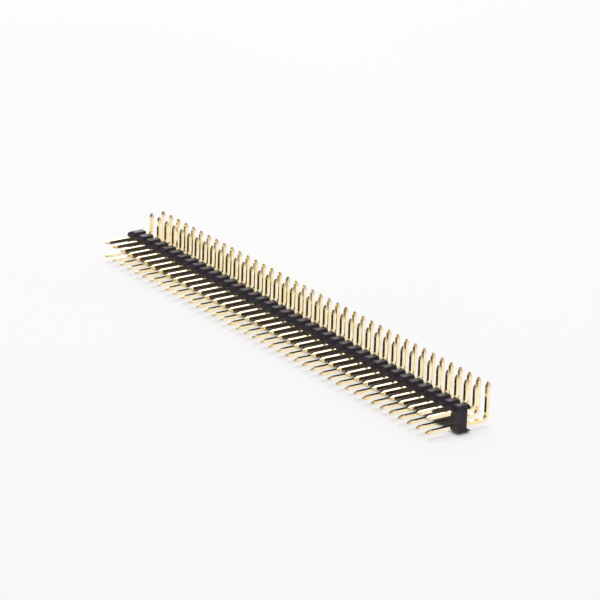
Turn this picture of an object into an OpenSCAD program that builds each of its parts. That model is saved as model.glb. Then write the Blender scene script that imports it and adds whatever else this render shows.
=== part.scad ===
// Two-row right-angle pin header strip, lying on the long edge of its housing.
// A moulded black housing holds one pair of square pins in every column.
// The mating ends point along -Y and the tails turn up along +Z.
// The origin is the middle of the strip's overall length and depth, on the surface it stands on.

/* [Strip] */
// Distance between neighbouring columns, between the two rows and between the two lines of tails
pitch = 2; // [1.8:0.05:2.2]
// Number of columns along the strip, each with an upper and a lower pin
columns = 40; // [2:1:50]

/* [Housing] */
// Height of the housing across both rows
housing_h = 3.8; // [3.6:0.05:4.4]
// Thickness of the web that grips the pins
web_t = 1.55; // [1.2:0.05:2.5]
// How far the stand-off feet reach behind the web, along its top and its bottom
foot_reach = 0.6; // [0.3:0.05:1]
// Thickness of each stand-off foot
foot_t = 0.43; // [0.33:0.05:0.48]
// Width of the snap-off notch between neighbouring columns, at the surface
notch_w = 1.1; // [0.8:0.05:1.4]
// Depth of the snap-off notch, which parts the feet where it is deeper than they are thick
notch_d = 0.45; // [0.1:0.05:0.5]
// Width of the flat at the bottom of the snap-off notch
notch_floor_w = 0.5; // [0.2:0.05:0.7]
// How far the slope at each end of the strip reaches in from the end
end_run = 0.55; // [0.2:0.05:0.7]
// How far the same slope falls towards the end
end_drop = 0.3; // [0.1:0.05:0.5]
// How far the chamfer along the two long front edges reaches down the front face
chamfer_drop = 0.5; // [0.1:0.05:0.6]
// How far the same chamfer reaches back along the top and the bottom
chamfer_run = 0.4; // [0.2:0.05:1]

/* [Pins] */
// Side of the square pin wire
pin_w = 0.5; // [0.4:0.01:0.6]
// Free length of the mating ends, in front of the housing
mating_len = 4.3; // [2.5:0.05:6]
// Distance from the back of the web to the middle of the nearer line of tails
tail_reach = 1.9; // [1.4:0.05:3]
// How far the tails stand above the top of the housing
tail_len = 2.35; // [1.2:0.05:4]
// Inside radius of each right-angle bend
bend_r = 0.4; // [0.05:0.05:0.5]
// Length of the taper at each mating tip
mating_taper = 0.6; // [0.3:0.05:1]
// Length of the taper at each tail tip
tail_taper = 0.5; // [0.3:0.05:1]
// Side of the small flat left at every tip
tip_w = 0.2; // [0.1:0.01:0.3]
// Gap on each side of a pin in its hole, zero where the housing grips it
grip_gap = 0; // [0:0.005:0.02]

/* [Hidden] */
$fn = 48;
cut_over = 1;
strip_len = columns * pitch;
housing_depth = web_t + foot_reach;
overall_depth = mating_len + web_t + tail_reach + pitch + pin_w / 2;
tip_y = -overall_depth / 2;
front_y = tip_y + mating_len;
inner_tail_y = front_y + web_t + tail_reach;
outer_tail_y = inner_tail_y + pitch;
upper_row_z = (housing_h + pitch) / 2;
lower_row_z = (housing_h - pitch) / 2;
tail_tip_z = housing_h + tail_len;
bend_axis_r = bend_r + pin_w / 2;
bend_outer_r = bend_r + pin_w;

// A column's place along the strip, and its name with two digits
function column_x(column) = (column - (columns + 1) / 2) * pitch;
function pair_name(column) = str("pin_pair_", column < 10 ? "0" : "", column);

// The end view of the housing: a web with a stand-off foot behind its top and its bottom,
// and a chamfer on each of its front edges
module housing_section() {
    polygon([
        [chamfer_run, 0],
        [housing_depth, 0],
        [housing_depth, foot_t],
        [web_t, foot_t],
        [web_t, housing_h - foot_t],
        [housing_depth, housing_h - foot_t],
        [housing_depth, housing_h],
        [chamfer_run, housing_h],
        [0, housing_h - chamfer_drop],
        [0, chamfer_drop]
    ]);
}

// One snap-off notch seen along the pins, cut down from the line y = 0
module notch_outline() {
    slope = (notch_w - notch_floor_w) / 2 / notch_d;
    polygon([
        [-notch_floor_w / 2, -notch_d],
        [notch_floor_w / 2, -notch_d],
        [notch_w / 2 + slope * cut_over, cut_over],
        [-notch_w / 2 - slope * cut_over, cut_over]
    ]);
}

// The front view of the housing: a bar with sloping ends and a notch at every column boundary
module housing_front() {
    difference() {
        polygon([
            [-strip_len / 2 + end_run, 0],
            [strip_len / 2 - end_run, 0],
            [strip_len / 2, end_drop],
            [strip_len / 2, housing_h - end_drop],
            [strip_len / 2 - end_run, housing_h],
            [-strip_len / 2 + end_run, housing_h],
            [-strip_len / 2, housing_h - end_drop],
            [-strip_len / 2, end_drop]
        ]);
        for (boundary = [1:columns - 1]) {
            translate([boundary * pitch - strip_len / 2, housing_h]) notch_outline();
            translate([boundary * pitch - strip_len / 2, 0]) mirror([0, 1]) notch_outline();
        }
    }
}

// The holes that grip the pins, square and straight through the web
module pin_holes() {
    hole_w = pin_w + 2 * grip_gap;
    for (column = [1:columns])
        for (row_z = [lower_row_z, upper_row_z])
            translate([column_x(column) - hole_w / 2, front_y - cut_over, row_z - hole_w / 2])
                cube([hole_w, web_t + 2 * cut_over, hole_w]);
}

// The moulded housing: its end view and its front view in common, less the pin holes
module housing() {
    color([0.1, 0.1, 0.11])
    difference() {
        intersection() {
            translate([-strip_len / 2, front_y, 0])
                rotate([90, 0, 90]) linear_extrude(strip_len) housing_section();
            translate([0, front_y + housing_depth + cut_over, 0])
                rotate([90, 0, 0]) linear_extrude(housing_depth + 2 * cut_over) housing_front();
        }
        pin_holes();
    }
}

// The side view of a pin, in Y and Z: mating end, right-angle bend and tail
module pin_side(row_z, tail_y) {
    polygon([
        [tip_y, row_z - tip_w / 2],
        [tip_y + mating_taper, row_z - pin_w / 2],
        [tail_y - bend_axis_r, row_z - pin_w / 2],
        [tail_y - bend_axis_r, row_z + pin_w / 2],
        [tip_y + mating_taper, row_z + pin_w / 2],
        [tip_y, row_z + tip_w / 2]
    ]);
    translate([tail_y - bend_axis_r, row_z + bend_axis_r]) intersection() {
        difference() {
            circle(bend_outer_r);
            circle(bend_r);
        }
        translate([0, -bend_outer_r]) square(bend_outer_r);
    }
    polygon([
        [tail_y - pin_w / 2, row_z + bend_axis_r],
        [tail_y + pin_w / 2, row_z + bend_axis_r],
        [tail_y + pin_w / 2, tail_tip_z - tail_taper],
        [tail_y + tip_w / 2, tail_tip_z],
        [tail_y - tip_w / 2, tail_tip_z],
        [tail_y - pin_w / 2, tail_tip_z - tail_taper]
    ]);
}

// A strip of the pin's width that narrows to the tip flat over its last stretch, at length 0
module tapered_strip(taper, length) {
    polygon([
        [-tip_w / 2, 0],
        [tip_w / 2, 0],
        [pin_w / 2, taper],
        [pin_w / 2, length],
        [-pin_w / 2, length],
        [-pin_w / 2, taper]
    ]);
}

// One bent pin: its side view, its plan and its front view in common
module bent_pin(row_z, tail_y) {
    intersection() {
        translate([-pin_w, 0, 0])
            rotate([90, 0, 90]) linear_extrude(2 * pin_w) pin_side(row_z, tail_y);
        translate([0, tip_y, -cut_over])
            linear_extrude(tail_tip_z + 2 * cut_over)
                tapered_strip(mating_taper, overall_depth + cut_over);
        translate([0, tip_y - cut_over, tail_tip_z])
            rotate([-90, 0, 0]) linear_extrude(overall_depth + 2 * cut_over)
                tapered_strip(tail_taper, tail_tip_z + cut_over);
    }
}

// The two pins of a column: the upper one has the near, short tail and the lower one the far tail
module pin_pair(column) {
    color([0.85, 0.68, 0.32])
    translate([column_x(column), 0, 0]) {
        bent_pin(upper_row_z, inner_tail_y);
        bent_pin(lower_row_z, outer_tail_y);
    }
}

housing();
for (column = [1:columns])
    pin_pair(column);
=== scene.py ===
"""Looks for a two-row right-angle pin header strip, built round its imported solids."""

import math

import bpy
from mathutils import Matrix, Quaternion, Vector


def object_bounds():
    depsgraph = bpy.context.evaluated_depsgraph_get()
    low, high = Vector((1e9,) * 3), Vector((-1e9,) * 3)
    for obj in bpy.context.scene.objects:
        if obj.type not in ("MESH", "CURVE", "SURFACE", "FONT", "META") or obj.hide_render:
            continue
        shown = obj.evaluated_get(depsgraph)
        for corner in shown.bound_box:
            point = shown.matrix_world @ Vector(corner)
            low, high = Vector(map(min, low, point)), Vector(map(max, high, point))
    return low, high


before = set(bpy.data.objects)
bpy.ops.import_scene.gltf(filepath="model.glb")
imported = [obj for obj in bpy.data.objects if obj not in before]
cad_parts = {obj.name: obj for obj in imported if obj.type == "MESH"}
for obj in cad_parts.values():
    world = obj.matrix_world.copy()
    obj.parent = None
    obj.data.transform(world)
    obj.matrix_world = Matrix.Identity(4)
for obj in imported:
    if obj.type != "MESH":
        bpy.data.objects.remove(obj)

solids_low, solids_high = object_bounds()
solids_middle = (solids_low + solids_high) / 2


# The housing
# One injection moulding in black glass-filled plastic, with a snap-off notch between positions.
# It comes from the tool with a satin skin, a faint flow mottle and slightly rounded edges.
HOUSING_BLACK = (0.02, 0.0148, 0.0225, 1)
HOUSING_GREY = (0.039, 0.031, 0.043, 1)
HOUSING_SHEEN = 0.26
HOUSING_PATCH_SIZE = 0.0009
HOUSING_ROUGH_LOW = 0.26
HOUSING_ROUGH_HIGH = 0.4
HOUSING_GRAIN_SIZE = 0.0003
HOUSING_GRAIN_DEPTH = 0.00003
HOUSING_EDGE_ROUND = 0.00004
HOUSING_EDGE_ANGLE = math.radians(20)
EDGE_STEPS = 2
SAME_CORNER = 0.000001
SAME_FLAT = math.radians(1)
PATCH_DETAIL = 3
GRAIN_DETAIL = 2
COLOUR_CHANGES = (0.35, 0.65)
ROUGHNESS_CHANGES = (0.3, 0.7)


def combined(tree, operation, first, second):
    """One number made from two, each of them a node's output or a plain number."""
    node = tree.nodes.new("ShaderNodeMath")
    node.operation = operation
    for socket, given in zip(node.inputs, (first, second)):
        if isinstance(given, bpy.types.NodeSocket):
            tree.links.new(given, socket)
        else:
            socket.default_value = given
    return node.outputs[0]


def ramp(tree, value, start, end, before, after, interpolation="LINEAR"):
    """A number that runs from before to after while the value goes from start to end."""
    node = tree.nodes.new("ShaderNodeMapRange")
    node.interpolation_type = interpolation
    node.inputs["From Min"].default_value = start
    node.inputs["From Max"].default_value = end
    node.inputs["To Min"].default_value = before
    node.inputs["To Max"].default_value = after
    tree.links.new(value, node.inputs["Value"])
    return node.outputs["Result"]


def surface_variation_group():
    """Slow patches and fine grain over a surface, at sizes given in metres."""
    group = bpy.data.node_groups.new("surface_variation", "ShaderNodeTree")
    group.interface.new_socket("Place", in_out="INPUT", socket_type="NodeSocketVector")
    group.interface.new_socket("Patch Size", in_out="INPUT", socket_type="NodeSocketFloat")
    group.interface.new_socket("Grain Size", in_out="INPUT", socket_type="NodeSocketFloat")
    group.interface.new_socket("Patches", in_out="OUTPUT", socket_type="NodeSocketFloat")
    group.interface.new_socket("Grain", in_out="OUTPUT", socket_type="NodeSocketFloat")
    entry = group.nodes.new("NodeGroupInput")
    way_out = group.nodes.new("NodeGroupOutput")
    for size_name, output_name, detail in (
            ("Patch Size", "Patches", PATCH_DETAIL), ("Grain Size", "Grain", GRAIN_DETAIL)):
        noise = group.nodes.new("ShaderNodeTexNoise")
        noise.inputs["Detail"].default_value = detail
        group.links.new(entry.outputs["Place"], noise.inputs["Vector"])
        group.links.new(combined(group, "DIVIDE", 1, entry.outputs[size_name]), noise.inputs["Scale"])
        group.links.new(noise.outputs["Fac"], way_out.inputs[output_name])
    return group


surface_variation = surface_variation_group()


def variation_over(tree, place, patch_size, grain_size):
    """The patches and the grain over a surface, for sizes in metres."""
    variation = tree.nodes.new("ShaderNodeGroup")
    variation.node_tree = surface_variation
    variation.inputs["Patch Size"].default_value = patch_size
    variation.inputs["Grain Size"].default_value = grain_size
    tree.links.new(place, variation.inputs["Place"])
    return variation.outputs["Patches"], variation.outputs["Grain"]


def new_material(name):
    """A new material, its node tree, its Principled shader and the place on its surface."""
    material = bpy.data.materials.new(name)
    material.use_nodes = True
    tree = material.node_tree
    place = tree.nodes.new("ShaderNodeTexCoord").outputs["Object"]
    return material, tree, tree.nodes["Principled BSDF"], place


def colour_between(tree, patches, low, high):
    """A colour that goes from low to high with the patches."""
    node = tree.nodes.new("ShaderNodeValToRGB")
    for element, position, colour in zip(node.color_ramp.elements, COLOUR_CHANGES, (low, high)):
        element.position = position
        element.color = colour
    tree.links.new(patches, node.inputs["Fac"])
    return node.outputs["Color"]


def finish_from(tree, shader, patches, rough_low, rough_high, grain, depth):
    """Gives a shader a roughness that follows the patches and a grain of the given depth in metres."""
    roughness = ramp(tree, patches, *ROUGHNESS_CHANGES, rough_low, rough_high)
    tree.links.new(roughness, shader.inputs["Roughness"])
    bump = tree.nodes.new("ShaderNodeBump")
    bump.inputs["Strength"].default_value = 1
    bump.inputs["Distance"].default_value = depth
    tree.links.new(grain, bump.inputs["Height"])
    tree.links.new(bump.outputs["Normal"], shader.inputs["Normal"])


def black_moulding():
    """Satin black plastic with a faint flow mottle and a fine moulded grain."""
    material, tree, shader, place = new_material("black_moulding")
    patches, grain = variation_over(tree, place, HOUSING_PATCH_SIZE, HOUSING_GRAIN_SIZE)
    tree.links.new(colour_between(tree, patches, HOUSING_BLACK, HOUSING_GREY), shader.inputs["Base Color"])
    finish_from(tree, shader, patches, HOUSING_ROUGH_LOW, HOUSING_ROUGH_HIGH, grain, HOUSING_GRAIN_DEPTH)
    shader.inputs["Specular IOR Level"].default_value = HOUSING_SHEEN
    return material


def dress(solid, material):
    """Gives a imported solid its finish, in place of the one that it came with."""
    solid.data.materials.clear()
    solid.data.materials.append(material)


def round_edges(solid, rounding, edge_angle):
    """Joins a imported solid's triangles into flat faces and rounds the edges between them."""
    weld = solid.modifiers.new("join_corners", "WELD")
    weld.merge_threshold = SAME_CORNER
    flat = solid.modifiers.new("join_flats", "DECIMATE")
    flat.decimate_type = "DISSOLVE"
    flat.angle_limit = SAME_FLAT
    bevel = solid.modifiers.new("round_edges", "BEVEL")
    bevel.width = rounding
    bevel.segments = EDGE_STEPS
    bevel.limit_method = "ANGLE"
    bevel.angle_limit = edge_angle
    bevel.harden_normals = True


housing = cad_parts["housing"]
dress(housing, black_moulding())
round_edges(housing, HOUSING_EDGE_ROUND, HOUSING_EDGE_ANGLE)


# The pins
# Square copper-alloy wire, drawn, cut to a taper at both ends, bent once and plated with gold.
# Each one is pressed through its hole in the housing, and a column's two pins share one node.
GOLD_PALE = (1.0, 0.905, 0.69, 1)
GOLD_DEEP = (0.95, 0.78, 0.45, 1)
# The cut tips are darkened towards this bronze, partly for bare metal and partly as a painted reflection of
# the dim room in front, which the tips mirror.
TIP_BARE_AND_SHADED = (0.45, 0.27, 0.11, 1)
TIP_DARKENING = 0.75
MATING_TIP_REACH = 0.0006
TAIL_TIP_REACH = 0.0009
PIN_PATCH_SIZE = 0.0012
PIN_ROUGH_LOW = 0.03
PIN_ROUGH_HIGH = 0.08
PIN_LINE_SIZE = 0.00006
PIN_LINE_STRETCH = (1, 0.04, 0.04)
PIN_LINE_DEPTH = 0.0000012
PIN_EDGE_ROUND = 0.00003
PIN_EDGE_ANGLE = math.radians(25)


def parts_of(tree, vector):
    """The X, Y and Z of a place or a direction."""
    parts = tree.nodes.new("ShaderNodeSeparateXYZ")
    tree.links.new(vector, parts.inputs["Vector"])
    return parts.outputs


def bare_and_shaded_tips(tree, place):
    """How far the tips are darkened, for bare cut metal and as a painted reflection of the dim room in
    front: most at the cut tips, and not at all along the wire.
    """
    parts = parts_of(tree, place)
    mating = ramp(tree, parts["Y"], solids_low.y, solids_low.y + MATING_TIP_REACH, TIP_DARKENING, 0)
    tail = ramp(tree, parts["Z"], solids_high.z - TAIL_TIP_REACH, solids_high.z, 0, TIP_DARKENING)
    return combined(tree, "MAXIMUM", mating, tail)


def gold_plating():
    """Bright gold plating that keeps the drawing lines of the wire and is darkened at its cut tips, partly
    for bare metal and partly as a painted reflection of the dim room in front.
    """
    material, tree, shader, place = new_material("gold_plating")
    patches = variation_over(tree, place, PIN_PATCH_SIZE, PIN_LINE_SIZE)[0]
    stretch = tree.nodes.new("ShaderNodeMapping")
    stretch.inputs["Scale"].default_value = PIN_LINE_STRETCH
    tree.links.new(place, stretch.inputs["Vector"])
    lines = variation_over(tree, stretch.outputs["Vector"], PIN_PATCH_SIZE, PIN_LINE_SIZE)[1]
    # Darkens the tips towards bronze: bare cut metal, and a painted reflection of the dim room in front.
    tip_darkened = tree.nodes.new("ShaderNodeMix")
    tip_darkened.data_type = "RGBA"
    tree.links.new(bare_and_shaded_tips(tree, place), tip_darkened.inputs["Factor"])
    tree.links.new(colour_between(tree, patches, GOLD_DEEP, GOLD_PALE), tip_darkened.inputs["A"])
    tip_darkened.inputs["B"].default_value = TIP_BARE_AND_SHADED
    tree.links.new(tip_darkened.outputs["Result"], shader.inputs["Base Color"])
    finish_from(tree, shader, patches, PIN_ROUGH_LOW, PIN_ROUGH_HIGH, lines, PIN_LINE_DEPTH)
    shader.inputs["Metallic"].default_value = 1
    return material


plating = gold_plating()
for name in sorted(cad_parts):
    if name.startswith("pin_pair_"):
        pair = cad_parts[name]
        dress(pair, plating)
        round_edges(pair, PIN_EDGE_ROUND, PIN_EDGE_ANGLE)


# The stage
# A pale sheet of paper under the strip keeps its soft shadow. Gloss mirrors that paper, which is
# dim well in front of the strip, and a room that is white low down behind the strip, dim in front
# of it, and fairly bright overhead.
FLOOR_REACH = 3
FLOOR_WHITE = (0.945, 0.945, 0.945, 1)
FLOOR_SHADE = (0.93, 0.928, 0.93, 1)
PAPER_PATCH_SIZE = 0.05
PAPER_GRAIN_SIZE = 0.001
PAPER_ROUGH = 0.9
PAPER_GLOW = 0.6
PAPER_GLOW_MIRRORED = 0.88
PAPER_LIT_FRONT = -0.03
PAPER_DIM_FRONT = -0.08
PAPER_DIM = 0.2
CONTACT_REACH = 0.0005
WHITE = (1, 1, 1, 1)
ROOM_FILL = 0.38
ROOM_DIM = 0.1
ROOM_FRONT = 0.16
BACKDROP_BRIGHT = 1
BACKDROP_MIDDLE = (-0.4, 0.92, 0)
BACKDROP_EDGE = -0.3
BACKDROP_SPREAD = 0.6
BACKDROP_TOP = 0.58
BACKDROP_FADE = 0.15
OVERHEAD_BRIGHT = 0.65
OVERHEAD_START = 0.72
OVERHEAD_FADE = 0.2


def shader_between(tree, share, first, second):
    """A mix of two shaders, the second by the share and the first by the rest."""
    node = tree.nodes.new("ShaderNodeMixShader")
    tree.links.new(share, node.inputs["Fac"])
    tree.links.new(first, node.inputs[1])
    tree.links.new(second, node.inputs[2])
    return node.outputs[0]


def pale_paper():
    """Matt white paper that camera and gloss rays see partly lit by itself, so its shadows stay soft."""
    material, tree, shader, place = new_material("pale_paper")
    patches = variation_over(tree, place, PAPER_PATCH_SIZE, PAPER_GRAIN_SIZE)[0]
    tree.links.new(colour_between(tree, patches, FLOOR_SHADE, FLOOR_WHITE), shader.inputs["Base Color"])
    shader.inputs["Roughness"].default_value = PAPER_ROUGH
    shader.inputs["Specular IOR Level"].default_value = 0
    ray = tree.nodes.new("ShaderNodeLightPath")
    lit_front = ramp(tree, parts_of(tree, place)["Y"], PAPER_DIM_FRONT, PAPER_LIT_FRONT, PAPER_DIM, 1)
    glow = tree.nodes.new("ShaderNodeEmission")
    glow.inputs["Color"].default_value = WHITE
    strength = combined(tree, "MAXIMUM", lit_front, ray.outputs["Is Camera Ray"])
    tree.links.new(strength, glow.inputs["Strength"])
    seen = combined(tree, "MULTIPLY", ray.outputs["Is Camera Ray"], PAPER_GLOW)
    mirrored = combined(tree, "MULTIPLY", ray.outputs["Is Glossy Ray"], PAPER_GLOW_MIRRORED)
    openness = tree.nodes.new("ShaderNodeAmbientOcclusion")
    openness.inputs["Distance"].default_value = CONTACT_REACH
    share = combined(tree, "MULTIPLY", combined(tree, "MAXIMUM", seen, mirrored), openness.outputs["AO"])
    paper = shader_between(tree, share, shader.outputs[0], glow.outputs[0])
    tree.links.new(paper, tree.nodes["Material Output"].inputs["Surface"])
    return material


floor_mesh = bpy.data.meshes.new("floor")
floor_mesh.from_pydata(
    [(-FLOOR_REACH, -FLOOR_REACH, 0), (FLOOR_REACH, -FLOOR_REACH, 0),
     (FLOOR_REACH, FLOOR_REACH, 0), (-FLOOR_REACH, FLOOR_REACH, 0)],
    [], [(0, 1, 2, 3)])
floor_mesh.materials.append(pale_paper())
floor = bpy.data.objects.new("floor", floor_mesh)
bpy.context.scene.collection.objects.link(floor)


def fade(tree, value, start, width, before, after):
    """A smooth change from before to after that begins at start and takes up the width."""
    return ramp(tree, value, start, start + width, before, after, "SMOOTHSTEP")


def white_background(tree, strength):
    """A white world light of a strength that is a node's output or a plain number."""
    node = tree.nodes.new("ShaderNodeBackground")
    node.inputs["Color"].default_value = WHITE
    if isinstance(strength, bpy.types.NodeSocket):
        tree.links.new(strength, node.inputs["Strength"])
    else:
        node.inputs["Strength"].default_value = strength
    return node.outputs[0]


def studio_world():
    """White to the camera, an even fill for matt surfaces, and a backdrop and overhead light for gloss."""
    world = bpy.data.worlds.new("studio")
    world.use_nodes = True
    tree = world.node_tree
    tree.nodes.remove(tree.nodes["Background"])
    direction = tree.nodes.new("ShaderNodeTexCoord").outputs["Generated"]
    facing = tree.nodes.new("ShaderNodeVectorMath")
    facing.operation = "DOT_PRODUCT"
    facing.inputs[1].default_value = BACKDROP_MIDDLE
    tree.links.new(direction, facing.inputs[0])
    height = parts_of(tree, direction)["Z"]
    behind = fade(tree, facing.outputs["Value"], BACKDROP_EDGE, BACKDROP_SPREAD, ROOM_FRONT, BACKDROP_BRIGHT)
    low = fade(tree, height, BACKDROP_TOP, BACKDROP_FADE, 1, ROOM_DIM)
    overhead = fade(tree, height, OVERHEAD_START, OVERHEAD_FADE, 0, OVERHEAD_BRIGHT)
    room = combined(tree, "MAXIMUM", combined(tree, "MULTIPLY", behind, low), overhead)
    ray = tree.nodes.new("ShaderNodeLightPath")
    lighting = shader_between(
        tree, ray.outputs["Is Glossy Ray"], white_background(tree, ROOM_FILL), white_background(tree, room))
    shown = shader_between(tree, ray.outputs["Is Camera Ray"], lighting, white_background(tree, 1))
    tree.links.new(shown, tree.nodes["World Output"].inputs["Surface"])
    return world


bpy.context.scene.world = studio_world()


# The lamps
# A softbox overhead, a little behind and to the left, gives the main light, and a low card
# behind to the left stands where the tops of the pins mirror it.
MAIN_DIRECTION = (-0.22, 0.1, 1.0)
MAIN_DISTANCE = 0.9
MAIN_SIZE = 0.5
MAIN_POWER = 4.6
CARD_DIRECTION = (-0.77, 0.54, 0.34)
CARD_DISTANCE = 1.2
CARD_SIZE = 0.9
CARD_POWER = 3.2


def softbox(name, direction, distance, size, power, mirrored):
    """A square soft lamp that faces the strip, which gloss mirrors or leaves out."""
    lamp = bpy.data.lights.new(name, "AREA")
    lamp.shape = "SQUARE"
    lamp.size = size
    lamp.energy = power
    box = bpy.data.objects.new(name, lamp)
    away = Vector(direction).normalized()
    box.location = solids_middle + away * distance
    box.rotation_mode = "QUATERNION"
    box.rotation_quaternion = away.to_track_quat("Z", "Y")
    box.visible_camera = False
    box.visible_glossy = mirrored
    bpy.context.scene.collection.objects.link(box)


softbox("main_softbox", MAIN_DIRECTION, MAIN_DISTANCE, MAIN_SIZE, MAIN_POWER, False)
softbox("back_card", CARD_DIRECTION, CARD_DISTANCE, CARD_SIZE, CARD_POWER, True)


# The camera
# A long lens looks down along the strip from its right-hand end, a little rolled.
# Its place, aim and lens were fitted to the tips of the pins.
CAMERA_AZIMUTH = math.radians(55.08)
CAMERA_ELEVATION = math.radians(19.97)
CAMERA_ROLL = math.radians(1.9)
CAMERA_DISTANCE = 0.5418
CAMERA_AIM = Vector((-0.00548, 0.00582, 0.00297))
CAMERA_LENS = 235.6
CAMERA_NEAR = 0.01
CAMERA_FAR = 20
SENSOR_WIDTH = 36

camera_data = bpy.data.cameras.new("camera")
camera_data.lens = CAMERA_LENS
camera_data.sensor_width = SENSOR_WIDTH
camera_data.clip_start = CAMERA_NEAR
camera_data.clip_end = CAMERA_FAR
camera = bpy.data.objects.new("camera", camera_data)
bpy.context.scene.collection.objects.link(camera)
camera_back = Vector((
    math.sin(CAMERA_AZIMUTH) * math.cos(CAMERA_ELEVATION),
    -math.cos(CAMERA_AZIMUTH) * math.cos(CAMERA_ELEVATION),
    math.sin(CAMERA_ELEVATION)))
camera.location = CAMERA_AIM + camera_back * CAMERA_DISTANCE
camera.rotation_mode = "QUATERNION"
camera.rotation_quaternion = (-camera_back).to_track_quat("-Z", "Y") @ Quaternion((0, 0, 1), CAMERA_ROLL)
bpy.context.scene.camera = camera

bpy.context.scene.view_settings.view_transform = "Standard"
